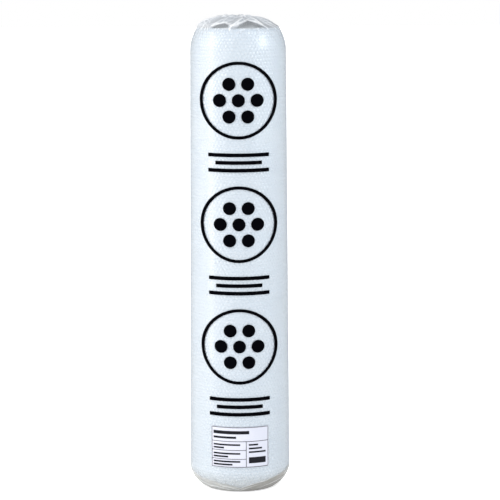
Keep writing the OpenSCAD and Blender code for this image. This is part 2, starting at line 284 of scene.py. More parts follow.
def end_rows(angle, flat_r, z, up):
    """One end as rows from the rim to the hole. A turn's place in the winding is
    (r - hole) / pitch - angle / circle, and the surface dips where that is whole."""
    radii = np.linspace(flat_r, BORE_R, int((flat_r - BORE_R) / TURN * SAMPLES_A_TURN))[:, None]
    share = (radii - BORE_R) / (flat_r - BORE_R)
    place = (radii - BORE_R) / TURN - (angle - FREE_EDGE) / (2 * np.pi)
    dip = (np.abs(np.mod(place, 1.0) - 0.5) * 2) ** 2
    slack = 0.5 + 0.5 * np.sin(2.4 * np.floor(place) + 2 * angle)
    flush = np.clip(np.minimum(share, 1 - share) * 30, 0, 1)
    depth = (GAP_DEPTH * dip + SLACK_DEPTH * slack) * flush
    height = z + end_rise(radii, flat_r) - up * depth
    points = ring_points(radii + spiral_growth(angle) * share, angle, height)
    # Painted shade: the turns are grey, darkest in the gaps between them, but the outermost turn is not.
    edge = (0.65 + 0.35 * dip) * np.clip((flat_r - radii - 0.002) / 0.004, 0, 1)
    return points, edge


print("an end has about", round((HEAD_FLAT_R - BORE_R) / TURN), "turns in its flat part")

# %% [markdown]
# The wound body is one closed surface: up the side, just below the bubbles, over the
# turns at the head, down the winding hole and back over the turns at the foot. It is
# one grid, so it has no seams to close. It starts just after the free edge, so that its
# first and last columns make the one-turn step there.

# %% The wound body
RIM_ROWS = 16
FREE_EDGE_STEP = 0.0004


def roll_body():
    """Up the side the radius is the roll's - a bubble's height + the spiral's growth."""
    angle = np.linspace(0, 2 * np.pi - FREE_EDGE_STEP, BODY_AROUND) + FREE_EDGE + FREE_EDGE_STEP
    rim = np.linspace(0, 1, RIM_ROWS)
    side_z = np.concatenate([
        ROLL_Z0 + FOOT_RIM_H * rim[:-1],
        np.linspace(STRAIGHT_Z0, STRAIGHT_Z1, RIM_ROWS),
        STRAIGHT_Z1 + HEAD_RIM_H * rim[1:],
    ])[:, None]
    side = ring_points(roll_radius(side_z) - BUBBLE_H + spiral_growth(angle), angle, side_z)
    head, head_edge = end_rows(angle, HEAD_FLAT_R - BUBBLE_H, ROLL_Z1, 1)
    foot, foot_edge = end_rows(angle, FOOT_FLAT_R - BUBBLE_H, ROLL_Z0, -1)
    hole_z = np.linspace(ROLL_Z1 + WIND_OUT, ROLL_Z0 + WIND_OUT, RIM_ROWS)[1:-1, None]
    hole = ring_points(BORE_R, angle, hole_z)
    points = np.concatenate([side, head, hole, foot[::-1]])
    # The winding hole is painted all in the shade grey.
    side_edge, hole_shade = np.zeros(side.shape[:2]), np.ones(hole.shape[:2])
    edge = np.concatenate([side_edge, head_edge, hole_shade, foot_edge[::-1]])
    faces = grid_faces(*points.shape[:2], closed_rows=True)[:, ::-1]
    piece = mesh_piece("roll_turns", points.reshape(-1, 3), faces, bubble_sheet)
    # The sheet under and between the bubbles takes the low tint, as painted shade.
    paint(piece, "dome", np.zeros(points.shape[:2]))
    paint(piece, "edge", edge)
    return piece


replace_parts(roll_body(), "bubble_roll")

# %% [markdown]
# The solid has a rib for each row of bubbles. Here every rib is broken up into its
# bubbles, each row half a pitch round from the last, and the rows go on down both rims.
# The rows are even steps along the roll's outline, counted from the top of the foot's
# rim, as the solid's ribs are.

# %% The rows of bubbles
ROW_PITCH = 0.0125
BUBBLES_ROUND = round(2 * math.pi * FOOT_R / ROW_PITCH * math.sqrt(3) / 2)
PITCH = 2 * math.pi * FOOT_R / BUBBLES_ROUND
END_MARGIN = 0.45 * ROW_PITCH


def outline_heights():
    """Heights of the rows: even steps along the outline, up and down from the foot's rim."""
    z = np.linspace(ROLL_Z0, ROLL_Z1, 4000)
    along = np.concatenate([[0], np.cumsum(np.hypot(np.diff(z), np.diff(roll_radius(z))))])
    first = np.mod(np.interp(STRAIGHT_Z0, z, along), ROW_PITCH)
    rows = np.arange(first, along[-1], ROW_PITCH)
    inside = (rows > END_MARGIN) & (rows < along[-1] - END_MARGIN)
    return np.interp(rows[inside], along, z)


heights = outline_heights()
print(len(heights), "rows of", BUBBLES_ROUND - 1, "bubbles, which are", round(1000 * PITCH, 1), "mm apart")

# %% [markdown]
# One bubble is a low dome: three rings of eight points and a crown, which is enough at
# this size, as there are ten thousand of them. They could be instances of one mesh, but
# the film presses every bubble a little differently, and each is bent to the roll.

# %% One bubble
BUBBLE_SIDES = 8
RING_RADII = (0.49, 0.38, 0.22, 0.0)
RING_HEIGHTS = (0.0, 0.45, 0.86, 1.0)


def bubble_faces():
    """Triangles of one bubble: two belts between its rings and a fan to the crown."""
    j = np.arange(BUBBLE_SIDES)
    j2 = (j + 1) % BUBBLE_SIDES
    faces = []
    for ring in (0, 1):
        low, high = ring * BUBBLE_SIDES, (ring + 1) * BUBBLE_SIDES
        faces.append(np.stack([low + j, low + j2, high + j2], -1))
        faces.append(np.stack([low + j, high + j2, high + j], -1))
    top, crown = 2 * BUBBLE_SIDES, np.full_like(j, 3 * BUBBLE_SIDES)
    faces.append(np.stack([top + j, top + j2, crown], -1))
    return np.concatenate(faces)


print("a bubble has", len(bubble_faces()), "triangles")

# %% [markdown]
# The bubbles are laid on the roll in three bands, because a piece should stay under
# 200,000 triangles. Each bubble is pressed to between 72 and 100 % of its height, by a
# random draw with a fixed seed, and its "dome" value grows towards its crown.

# %% The bubbles
PRESSED_LOW = 0.72


def bubble_band(name, heights, first):
    """The bubbles of some rows: rings round each middle, at r = roll's radius + spiral -
    bubble height x (1 - ring's height x the bubble's own height)."""
    corner = np.arange(BUBBLE_SIDES) / BUBBLE_SIDES * 2 * np.pi
    ring_a = np.concatenate([np.tile(corner, 3), [0.0]])
    ring_r = np.concatenate([np.repeat(RING_RADII[:3], BUBBLE_SIDES), RING_RADII[3:]]) * PITCH
    ring_h = np.concatenate([np.repeat(RING_HEIGHTS[:3], BUBBLE_SIDES), RING_HEIGHTS[3:]])
    row = np.arange(len(heights)) + first
    start = FREE_EDGE + (0.75 + 0.5 * (row % 2)) / BUBBLES_ROUND * 2 * np.pi
    turn = np.arange(BUBBLES_ROUND - 1) / BUBBLES_ROUND * 2 * np.pi
    middle = (start[:, None] + turn).reshape(-1, 1)
    height = np.repeat(heights, len(turn))[:, None]
    slope = (roll_radius(height + 0.001) - roll_radius(height - 0.001)) / 0.002
    z = np.clip(height + ring_r * np.sin(ring_a) / np.hypot(1, slope), ROLL_Z0, ROLL_Z1)
    a = middle + ring_r * np.cos(ring_a) / FOOT_R
    rng = np.random.default_rng(7 + first)
    own = rng.uniform(PRESSED_LOW, 1.0, (len(middle), 1))
    r = roll_radius(z) + spiral_growth(middle) - BUBBLE_H * (1.0 - ring_h * own)
    count = len(ring_a)
    faces = (bubble_faces()[None] + np.arange(len(middle))[:, None, None] * count).reshape(-1, 3)
    piece = mesh_piece(name, ring_points(r, a, z).reshape(-1, 3), faces, bubble_sheet)
    # Painted highlight: the crowns are lighter, most of all those of the higher bubbles.
    paint(piece, "dome", ring_h * (own - PRESSED_LOW) / (1 - PRESSED_LOW) * 0.5 + ring_h * 0.5)
    return piece


third = math.ceil(len(heights) / 3)
for index, part in enumerate(("foot", "middle", "head")):
    rows_here = heights[index * third:(index + 1) * third]
    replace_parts(bubble_band("bubbles_" + part, rows_here, index * third), "bubble_roll")

# %% [markdown]
# The sleeve is one tube of film, and its surplus at each end is gathered into folds. A
# cloth simulation could gather it, but its folds would lie elsewhere than the solid's.
# So each fold is given: the angle at which it starts on the rim, as in the solid, the
# angle towards which it is turned at the winding hole, and its height. At the hole,
# three of the head's folds end 2, 14 and 3 degrees from where the solid's end. In the
# gaps between the head's folds the film can be clear, and the two gaps at the front have
# windows that lie a little to one side.

# %% Folds of the film
HEAD_FOLDS = (15, 45, 75, 105, 130, 160, 190, 225, 255, 315, 345)
HEAD_ENDS = (-2, 29, 64, 105, 140, 178, 213, 250, 296, 308, 338)
HEAD_SIZES = (0.8, 0.5, 0.9, 0.6, 1, 0.6, 1.2, 0.6, 1, 1, 0.7)
FOOT_FOLDS = (20, 55, 90, 125, 160, 195, 215, 240, 265, 300, 335)
FOOT_ENDS = (28, 70, 105, 145, 190, 232, 256, 272, 284, 294, 340)
FOOT_SIZES = (0.7, 1, 0.6, 1, 0.7, 0.9, 0.6, 1, 0.8, 0.9, 0.7)
WINDOW_SIZES = np.array((0.5, 0.2, 0.6, 0.3, 0.5, 0.2, 0, 1.1, 1, 0, 0.3))
LEFT_WINDOW, RIGHT_WINDOW = 7, 8
WINDOW_AT = np.full(len(HEAD_FOLDS), 0.5)
WINDOW_AT[[LEFT_WINDOW, RIGHT_WINDOW]] = 0.52, 0.55
WINDOW_TOP = np.full(len(HEAD_FOLDS), 0.5)
WINDOW_TOP[LEFT_WINDOW] = 0.42


def fold_table(folds, ends, sizes):
    """The folds of one end, run past a full circle on both sides."""
    folds, ends, sizes = (np.array(v, float) for v in (folds, ends, sizes))
    around = lambda v, turn: np.concatenate([[v[-1] - turn], v, [v[0] + turn]])
    return around(folds, 360), around(ends, 360), around(sizes, 0)


def fold_shape(degrees, table, sharp):
    """Height share of the folds, size x |1 - 2u| ** sharp for u from one crest to the
    next; the angle that the gathering aims at; u itself; and the degrees between."""
    folds, ends, sizes = table
    i = np.clip(np.searchsorted(folds, degrees, side="right") - 1, 0, len(folds) - 2)
    u = (degrees - folds[i]) / (folds[i + 1] - folds[i])
    size = sizes[i] + (sizes[i + 1] - sizes[i]) * u
    aim = ends[i] + (ends[i + 1] - ends[i]) * u
    return size * np.abs(1 - 2 * u) ** sharp, aim, u, folds[i + 1] - folds[i]


head_table = fold_table(HEAD_FOLDS, HEAD_ENDS, HEAD_SIZES)
foot_table = fold_table(FOOT_FOLDS, FOOT_ENDS, FOOT_SIZES)
print("the film has", len(HEAD_FOLDS), "folds at the head and", len(FOOT_FOLDS), "at the foot")

# %% [markdown]
# The film is a grid of rows from the tail in the head's winding hole, over the gather,
# down the roll and into the hole at the foot. A row holds its radius and height, the
# direction of the air in degrees, the folds' height and sharpness, the share of the
# gathering and of the roll's spiral, and two marks: how far it lies up the head's slope,
# and how far round under the foot. This cell makes the rows at the head: the tucked
# tail, the crown, the slope down to the rim, a blend over the edge, and the rim.

# %% Rows at the head
TAIL_R, TAIL_LENGTH, TAIL_FOLD = 0.030, 0.150, 0.017
GATHER_H, GATHER_LEAN, GATHER_FOLD = 0.038, 0.008, 0.0035
RIDGE_H, RIDGE_SWELL = 0.009, 110
CROWN_ARC, CROWN_END = 0.017, 50
SLOPE_AIR_AT, SLOPE_AIR = (0, 0.24, 0.48, 0.72, 0.9), (50, 78, 72, 62, 52)
RIM_MARGIN, RIM_CLEAR = 0.006, 0.004


def stretch(count, *columns):
    """Rows of one stretch of film. A column is a number or an array of that count."""
    return np.stack([np.broadcast_to(np.asarray(c, float), count) for c in columns], -1)


def crown_rows(crown_r, crown_z):
    """The film turns outwards over an arc, and its folds grow with the square of the way in."""
    a = np.linspace(180, CROWN_END, 14)
    way_in = (a - CROWN_END) / (180 - CROWN_END)
    fold = GATHER_FOLD + (TAIL_FOLD - GATHER_FOLD) * way_in**2
    r = crown_r + CROWN_ARC * np.cos(np.radians(a))
    z = crown_z + CROWN_ARC * np.sin(np.radians(a))
    return stretch(14, r, z, a, fold, 1.2, 1, 0, 1 + way_in, 0)


def slope_rows(r0, z0):
    """From the crown to the rim: the drop grows with t ** 1.8, so it is flattest at the crown."""
    r1, z1 = HEAD_FLAT_R - RIM_MARGIN, ROLL_Z1 + RIM_CLEAR
    t = np.linspace(0, 0.9, 30)[1:]
    air = np.interp(t, SLOPE_AIR_AT, SLOPE_AIR)
    fold = GATHER_FOLD + (RIDGE_H - GATHER_FOLD) * np.sin(np.radians(RIDGE_SWELL * t))
    r, z = r0 + (r1 - r0) * t, z0 + (z1 - z0) * t**1.8
    return stretch(len(t), r, z, air, fold, 1.3, 1 - 0.8 * t, 0, 1 - t, 0)


def head_rows():
    """Tail, crown, slope, a blend over the edge, and the rim, each a little off the roll."""
    crown_r, crown_z = TAIL_R + CROWN_ARC, ROLL_Z1 + GATHER_H - CROWN_ARC
    tail_z = np.linspace(ROLL_Z1 - TAIL_LENGTH, crown_z, 9)[:-1]
    tail = stretch(8, TAIL_R, tail_z, 180, TAIL_FOLD, 1, 1, 0, 2, 0)
    crown = crown_rows(crown_r, crown_z)
    slope = slope_rows(*crown[-1, :2])
    s = np.linspace(1, 0, 24)
    n = np.arctan(HEAD_INSET * HEAD_POWER * s ** (HEAD_POWER - 1) / HEAD_RIM_H)
    r = HEAD_R - HEAD_INSET * s**HEAD_POWER + AIR_GAP * np.cos(n)
    z = STRAIGHT_Z1 + s * HEAD_RIM_H + AIR_GAP * np.sin(n)
    rim = stretch(24, r, z, np.degrees(n), RIDGE_H * 0.45 * s**4, 1.5, 0.1 * s * s, 1, s - 1, 0)
    edge = np.linspace(slope[-1], rim[0], 6)[1:-1]
    return np.concatenate([tail, crown, slope, edge, rim])


print("the film has", len(head_rows()), "rows at the head")

# %% [markdown]
# Down the side the film lies close on the roll. Round the foot's rim its rows are close
# together, because the piled-up layers there end in fine lines. Under the foot it is
# pressed flat on the floor, and then it turns up into the winding hole as a tail.

# %% Rows down the side and round the foot
FOOT_FOLD = 0.005
FOOT_RIM_ROWS = 54
TURN_UP_H, TUCK_GAP = 0.042, 0.007


def foot_rows():
    """The side at the roll's radius + the gap of air, the foot's rim, and the tuck."""
    z = np.linspace(STRAIGHT_Z1, STRAIGHT_Z0, 26)[1:-1]
    straight = stretch(24, roll_radius(z) + AIR_GAP, z, 0, 0, 1.5, 0, 1, -1, 0)
    s = np.linspace(0, 1, FOOT_RIM_ROWS)
    n = np.arctan(FOOT_INSET * FOOT_POWER * s ** (FOOT_POWER - 1) / FOOT_RIM_H)
    r = FOOT_R - FOOT_INSET * s**FOOT_POWER + AIR_GAP * np.cos(n)
    z = STRAIGHT_Z0 - s * FOOT_RIM_H - AIR_GAP * np.sin(n)
    fold = FOOT_FOLD * np.sin(np.pi * s**0.8)
    rim = stretch(FOOT_RIM_ROWS, r, z, -np.degrees(n), fold, 2.2, 0.45 * s * s, 1, -1, s)
    tuck_r = BORE_R - TUCK_GAP
    tuck = np.array([
        [FOOT_FLAT_R - RIM_MARGIN, 0, -90, 0, 1, 0.5, 1, -1, 1],
        [(FOOT_FLAT_R + BORE_R) / 2, 0, -90, 0, 1, 0.75, 0, -1, 1],
        [BORE_R, 0, -90, 0, 1, 1, 0, -1, 1],
        [tuck_r, TURN_UP_H * 0.1, -135, TAIL_FOLD * 0.2, 1, 1, 0, -1, 1],
        [TAIL_R + (tuck_r - TAIL_R) * 0.4, TURN_UP_H * 0.4, -160, TAIL_FOLD * 0.6, 1, 1, 0, -1, 1],
        [TAIL_R, TURN_UP_H, -180, TAIL_FOLD, 1, 1, 0, -1, 1],
        [TAIL_R, TAIL_LENGTH, -180, TAIL_FOLD, 1, 1, 0, -1, 1],
    ])
    halfway = (tuck[:-1] + tuck[1:]) / 2
    fine = np.stack([tuck[:-1], halfway], 1).reshape(-1, tuck.shape[1])
    return np.concatenate([straight, rim, fine, tuck[-1:]])


print("the film has", len(foot_rows()), "rows below the head")

# %% [markdown]
# Each row now becomes a ring of points. The gathering turns a point from its own angle
# towards its fold's aim, by the row's share. The film could be built point by point, but
# then its quarter of a million numbers would take long. So each quantity is one array,
# with a line for each row of film and a column for each angle.

# %% Places on the film
FILM_AROUND = 512

film_rows = np.concatenate([head_rows(), foot_rows()])
row_r, row_z, air, fold_h, sharp, gathered, spiral, up, under = (film_rows[:, i:i + 1] for i in range(9))
degrees = np.arange(FILM_AROUND) / FILM_AROUND * 360
at_head = np.arange(len(film_rows))[:, None] < len(head_rows())
head_share, head_aim, head_u, head_span = fold_shape(
    degrees[None, :], head_table, np.where(at_head, sharp, 1))
foot_share, foot_aim, foot_u, foot_span = fold_shape(
    degrees[None, :], foot_table, np.where(at_head, 1, sharp))
fold_u = np.where(at_head, head_u, foot_u)
fold_span = np.where(at_head, head_span, foot_span)
aim = np.where(at_head, head_aim, foot_aim)
film_angle = np.radians(degrees + gathered * (aim - degrees))
film_r = row_r + spiral_growth(film_angle) * spiral
crest_gap = np.radians(fold_span) * np.minimum(fold_u, 1 - fold_u) * film_r
print("the film's grid is", film_angle.shape[0], "rows by", film_angle.shape[1], "columns")

# %% [markdown]
# Thin film doesn't bend smoothly: it breaks into short straight crests. A noise texture
# would give it soft lumps instead. So creases are thin crests: a plane wave turned into
# (1 - |sin|) ** sharpness and bent by a slower wave across it. Of a few directions, the
# highest counts. The crown has pleats as well, and the film is calmer below the head.

# %% Creases and pleats
def creases(x, y, size, seed, sharp):
    """The highest of five families of crests, (1 - |sin(k along + bend)|) ** sharp."""
    rng = np.random.default_rng(seed)
    total = 0.0
    for turn in np.linspace(0, np.pi, 6)[:-1] + rng.uniform(0, 0.5, 5):
        phase = rng.uniform(0, 2 * np.pi)
        k = np.pi / (size * rng.uniform(0.7, 1.6))
        along = x * np.cos(turn) + y * np.sin(turn)
        across = y * np.cos(turn) - x * np.sin(turn)
        bend = 0.9 * np.sin(0.37 * k * across + 2 * phase) + 0.35 * np.sin(1.3 * k * across + phase)
        total = np.maximum(total, (1 - np.abs(np.sin(k * along + phase + bend))) ** sharp)
    return total


def near(distance, width):
    """A bell curve: 1 on a line, and gone a few widths away from it."""
    return np.exp(-((distance / width) ** 2))


def ramp(value, start, stop):
    """A straight rise from 0 to 1 between two values."""
    return np.clip((value - start) / (stop - start), 0, 1)


WIDE_CREASE, FINE_CREASE = 0.055, 0.024
CALM_SHARE = 0.3
PLEATS_ROUND = 23

film_x, film_y = film_r * np.cos(film_angle), film_r * np.sin(film_angle)
calm = np.where(at_head, 1.0, CALM_SHARE)
wide_creases = creases(film_x, film_y, WIDE_CREASE, 3, 9) * calm
fine_creases = creases(film_x, film_y, FINE_CREASE, 5, 7) * calm
drawn_in = np.maximum(ramp(up, -0.75, -0.1), ramp(under, 0.15, 0.6))
pleat_wave = PLEATS_ROUND * film_angle + 2.2 * np.sin(3 * film_angle) + 1.7 * np.sin(5 * film_angle)
pleats = (1 - np.abs(np.sin(pleat_wave))) ** 2
pleated = ramp(up, 0.55, 1.0) * (1 - ramp(up, 1.6, 2.0))
print("creases are sharp on", round(100 * float((wide_creases > 0.5).mean()), 1), "% of the film")

# %% [markdown]
# Many layers of film are piled up under the foot, and they end in a curved edge: low in
# front, and up on both sides. Beyond that edge, pale lines (swoops) and darker ones
# (furrows) run along it, where single layers end. The swoops are low ridges, and their
# paleness is a painted highlight. One distance drives them all: how far a place lies
# beyond the edge.

# %% The piled-up layers at the foot
SWOOP_PLACES, SWOOP_W = (0.01, 0.14, 0.3, 0.5), 0.02
FURROW_PLACES, FURROW_W = (0.06, 0.19, 0.36), 0.025


def beyond_edge(angle, under):
    """How far round under the foot a place lies beyond the edge of the piled-up layers,
    .76 - (.55 + .1 cos a) x (degrees from the front / 80) ** .8, and a slow wave."""
    off = np.abs(np.mod(np.degrees(angle) - 90, 360) - 180)
    edge = 0.76 - (0.55 + 0.1 * np.cos(angle)) * (off / 80) ** 0.8 + 0.02 * np.sin(7 * angle)
    return under - np.clip(edge, 0.15, 1)


beyond = beyond_edge(film_angle, under)
# Swoops: low ridges whose paleness is a painted highlight.
swoops = sum(near(beyond - place, SWOOP_W) for place in SWOOP_PLACES)
broken_up = np.clip(0.45 + 0.6 * np.sin(4 * film_angle + 14 * beyond), 0, 1)
swoops = swoops * broken_up * ramp(under, 0.05, 0.3)
furrows = sum(near(beyond - place, FURROW_W) for place in FURROW_PLACES)
print("the layers are piled up on", round(100 * float((beyond > 0).mean()), 1), "% of the film")

# %% [markdown]
# The relief could be bump in the material, but then the outline would stay smooth. So
# it moves each point out, by folds + creases + pleats + swoops, along the direction of
# the air, and the film never cuts into the roll. Last, the gather leans to the left.

# %% The film's surface
CREASE_H = 0.0011
PLEAT_H = 0.0006
SWOOP_H = 0.0016
LEAN_RISE = 0.012

film_out = fold_h * np.where(at_head, head_share, foot_share)
film_out = film_out + CREASE_H * drawn_in * (0.7 * wide_creases + 0.3 * fine_creases)
film_out = film_out + PLEAT_H * pleats * pleated + SWOOP_H * swoops * (under < 1)
air_way = np.radians(air)
film_z = np.maximum(row_z + film_out * np.sin(air_way), 0.0)
film_points = ring_points(film_r + film_out * np.cos(air_way), film_angle, film_z)
film_points[..., 0] -= GATHER_LEAN * ramp(film_z, ROLL_Z1, ROLL_Z1 + LEAN_RISE) * at_head
print("the film reaches up to", round(float(film_points[..., 2].max()), 4), "m")

# %% [markdown]
# The head's windows are lenses just above the rim, between two folds: there the film is
# clear and the roll's end shows. Each has a milky hem. In the two gaps beside them the
# film is crumpled at the corner of the rim, and the tall folds have white crests. The
# white of the hems, the crumples and the crests is partly whitened film and partly a
# painted highlight.

# %% Windows, corners and crests at the head
WINDOW_HALF, WINDOW_POWER = 0.43, 1.2
WINDOW_H_A_DEGREE = 0.0088
HEM_W = 0.22
CREST_W, CREST_SPREAD = 0.0042, 0.003

fold_number = np.mod(np.searchsorted(HEAD_FOLDS, degrees, side="right") - 1, len(HEAD_FOLDS))
window_size = WINDOW_SIZES[fold_number]
window_h = np.maximum(WINDOW_H_A_DEGREE * fold_span * window_size, 1e-6)
window_lean = (WINDOW_TOP - WINDOW_AT)[fold_number]
window_middle = WINDOW_AT[fold_number] + window_lean * np.clip(up / window_h, 0, 1)
sideways = np.abs((fold_u - window_middle) / WINDOW_HALF)
inside = 1 - sideways**WINDOW_POWER - np.abs(up / window_h) ** WINDOW_POWER
window = ramp(inside, 0.0, 0.22) * (up > 0.01)
hem = near(inside + 0.2, HEM_W) * (window_size > 0.4) * (up > 0.04)
crumple = near(up - 0.02, 0.13) * (window_size == 0) * (0.4 + 0.6 * ramp(wide_creases, 0.2, 0.7))
tall = ramp(np.where(at_head, head_share, 0), 0.3, 1.0)
crest = near(crest_gap, CREST_W + CREST_SPREAD * ramp(up, 0, 0.6)) * ramp(up, -0.26, 0.12) * tall
print("the windows take up", round(100 * float((window > 0.5)[(up > 0)[:, 0]].mean()), 1), "% of the slope")

# %% [markdown]
# Three numbers a point tell the material what the film is like there. "milk" says how
# milky it is, on the crests, in the pleats, up the slope and in the piled-up layers.
# The second says how white that milk is: on the crests, creases, crumples and hems it is
# partly whitened film and partly a painted highlight, and on the swoops under the foot a
# painted highlight. "layers" says how many layers lie there, which make it greyer and
# yellower, and towards the right side it is raised further, as painted shade.

# %% Milk, brightness and layers
CREST_MILK, HEM_MILK, LINE_MILK, TAIL_MILK = 0.8, 0.3, 0.6, 0.8

lines = 0.55 * wide_creases + 0.25 * fine_creases
slope_milk = ramp(up, -0.12, 0.1) * 0.6 + 0.2 * ramp(up, 0.5, 1.2) + 0.45 * crumple
milk = slope_milk * (1 - 0.95 * window) + CREST_MILK * crest + HEM_MILK * hem
milk = milk + lines * drawn_in * (1 - 0.6 * window) * LINE_MILK
milk = milk + pleated * 0.35 * pleats + 0.5 * swoops
milk = milk + 0.22 * ramp(under, 0.15, 0.5)
milk = milk + ramp(beyond, 0.0, 0.06) * (0.5 + 0.08 * np.cos(film_angle))
milk = np.where(up > 1.6, TAIL_MILK, milk)
# Partly whitened film and partly a painted highlight on crests, creases, crumples and hems; on the swoops a
# painted highlight.
whiteness_and_highlight = crest * (1 - window) + 0.9 * lines * drawn_in * at_head + 0.8 * hem + 0.8 * crumple + swoops
# Painted shade: the piled-up layers are counted higher, so darker, towards the right side.
shaded = 0.5 + 0.5 * ramp(np.cos(film_angle), -0.3, 0.4)
piled_up = ramp(beyond, -0.02, 0.08) * shaded + 0.25 * furrows
layers = np.maximum(piled_up, 0.5 * (under > 0.1))
print("the film is milky on", round(100 * float((milk > 0.5).mean()), 1), "% of its grid")

# %% [markdown]
# The film is clear where it lies flat, and looks darker edge-on, where the view goes a
# long way through it. Real glass shading would bend the view and need many more light
# paths, so flat film is a plain transparent shader with a thin gloss, and its milky
# places mix in a soft white that also lets light through.

# %% Material of the film
FLAT_TINT, EDGE_ON_TINT = (0.985, 0.99, 0.99, 1), (0.46, 0.48, 0.50, 1)
ONE_LAYER, FEW_LAYERS = (0.72, 0.755, 0.80, 1), (0.75, 0.73, 0.685, 1)
# The darkest grey of many layers, which also carries painted shade on the right side.
MANY_LAYERS_AND_SHADE = (0.48, 0.45, 0.40, 1)
# White for the crests, creases, crumples and hems, partly a painted highlight, and for the painted highlight
# on the swoops.
CREST_WHITE_AND_HIGHLIGHT = (0.98, 0.98, 0.98, 1)
RIM_GREY = (0.30, 0.32, 0.36, 1)
MOST_GLAZE = 0.12


def film_material():
    material, tree = new_material("clear_film")
    place = object_place(tree, (1, 1, 0.3))
    ripple = node(tree, "ShaderNodeTexNoise", {"Vector": place, "Scale": 26.0, "Detail": 3.0}).outputs["Fac"]
    bump = node(tree, "ShaderNodeBump", {"Height": ripple, "Strength": 0.2, "Distance": 0.004})
    normal = bump.outputs["Normal"]
    facing = node(tree, "ShaderNodeLayerWeight", {"Blend": 0.5}).outputs["Facing"]
    tint = blend(tree, maths(tree, "POWER", facing, 2.5), FLAT_TINT, EDGE_ON_TINT)
    clear = node(tree, "ShaderNodeBsdfTransparent", {"Color": tint}).outputs["BSDF"]
    shine = node(tree, "ShaderNodeBsdfGlossy", {"Roughness": 0.3, "Normal": normal}).outputs["BSDF"]
    fresnel = node(tree, "ShaderNodeFresnel", {"IOR": 1.45, "Normal": normal}).outputs["Fac"]
    glaze = maths(tree, "MINIMUM", fresnel, MOST_GLAZE)
    sheet = node(tree, "ShaderNodeMixShader", {0: glaze, 1: clear, 2: shine}).outputs["Shader"]
    layers_here = attribute(tree, "layers")
    few = maths(tree, "MULTIPLY", layers_here, 2.0, clamp=True)
    many = maths(tree, "MULTIPLY_ADD", layers_here, 2.0, -1.0, clamp=True)
    white = blend(tree, few, ONE_LAYER, FEW_LAYERS)
    white = blend(tree, many, white, MANY_LAYERS_AND_SHADE)
    # Blends in the white, which is partly a painted highlight.
    white = blend(tree, attribute(tree, "whiteness_and_highlight"), white, CREST_WHITE_AND_HIGHLIGHT)
    edge_on = maths(tree, "POWER", facing, 2.8)
    rim = maths(tree, "MULTIPLY", edge_on, maths(tree, "SUBTRACT", 1.0, few))
    white = blend(tree, rim, white, RIM_GREY)
    inputs = {"Base Color": white, "Roughness": 0.3, "Normal": normal}
    milky = node(tree, "ShaderNodeBsdfPrincipled", inputs).outputs["BSDF"]
    glow = node(tree, "ShaderNodeBsdfTranslucent", {"Color": white}).outputs["BSDF"]
    haze = node(tree, "ShaderNodeMixShader", {0: 0.3, 1: milky, 2: glow}).outputs["Shader"]
    amount = maths(tree, "MULTIPLY_ADD", attribute(tree, "milk"), 0.92, 0.03, clamp=True)
    both = node(tree, "ShaderNodeMixShader", {0: amount, 1: sheet, 2: haze}).outputs["Shader"]
    node(tree, "ShaderNodeOutputMaterial", {"Surface": both})
    return material


clear_film = film_material()
print("made", clear_film.name)

# %% [markdown]
# The film is a sheet: a tube that lies flat before it is pulled on, gathered at both
# ends, and it rests on the roll.

film_faces = grid_faces(len(film_rows), FILM_AROUND)
film = mesh_piece("sleeve_film", film_points.reshape(-1, 3), film_faces, clear_film)
paint(film, "milk", np.clip(milk, 0, 1))
paint(film, "whiteness_and_highlight", np.clip(whiteness_and_highlight, 0, 1))
paint(film, "layers", np.clip(layers, 0, 1))
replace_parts(film, "film_sleeve")

# %% [markdown]
# The marks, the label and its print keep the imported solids, because their shapes are
# plain, and only get a material: flat black ink, smooth paper, and toner. Ink on film
# hardly shines, so its gloss is turned off, which keeps it black under the lamps.

# %% Inks and paper
GRAIN_SCALE, GRAIN_DETAIL = 700.0, 2.0
GRAIN_LOW, GRAIN_HIGH = (0.94, 0.94, 0.94, 1), (1.04, 1.04, 1.04, 1)


def plain_material(name, colour, roughness, shine):
    """One colour with a faint grain."""
    material, tree = new_material(name)
    grainy = tinted(tree, colour + (1,), GRAIN_SCALE, GRAIN_DETAIL, GRAIN_LOW, GRAIN_HIGH)
    inputs = {"Base Color": grainy, "Roughness": roughness, "Specular IOR Level": shine}
    shader = node(tree, "ShaderNodeBsdfPrincipled", inputs)
    node(tree, "ShaderNodeOutputMaterial", {"Surface": shader.outputs["BSDF"]})
    return material


def dress(name, material):
    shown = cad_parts[name]
    shown.data.materials.clear()
    shown.data.materials.append(material)
    print(name, "is dressed in", material.name)


dress("film_print", plain_material("black_ink", (0.002, 0.002, 0.003), 0.6, 0.0))
dress("paper_label", plain_material("label_paper", (0.72, 0.725, 0.81), 0.5, 0.4))
dress("label_print", plain_material("label_ink", (0.01, 0.01, 0.014), 0.5, 0.1))

# %% [markdown]
# The background is white for the camera, and for the rays that shine off the film or
# pass through it. All other rays see a duller floor and a plain pale room, so the object
# is lit at an even level, and the floor still takes its shadow.

# %% The floor
FLOOR_HALF = 30.0
FLOOR_Z = -0.001
FLOOR_LIFT = 0.62
FLOOR_SEEN, FLOOR_LIGHT = (0.82, 0.82, 0.82, 1), (0.7, 0.7, 0.7, 1)
WHITE = (1, 1, 1, 1)


def seen_rays(tree):
    """1 for the rays that show the background, and 0 for those that only carry light."""
    path = node(tree, "ShaderNodeLightPath")
    first = maths(tree, "MAXIMUM", path.outputs["Is Camera Ray"], path.outputs["Is Glossy Ray"])
    return maths(tree, "MAXIMUM", first, path.outputs["Is Transmission Ray"])


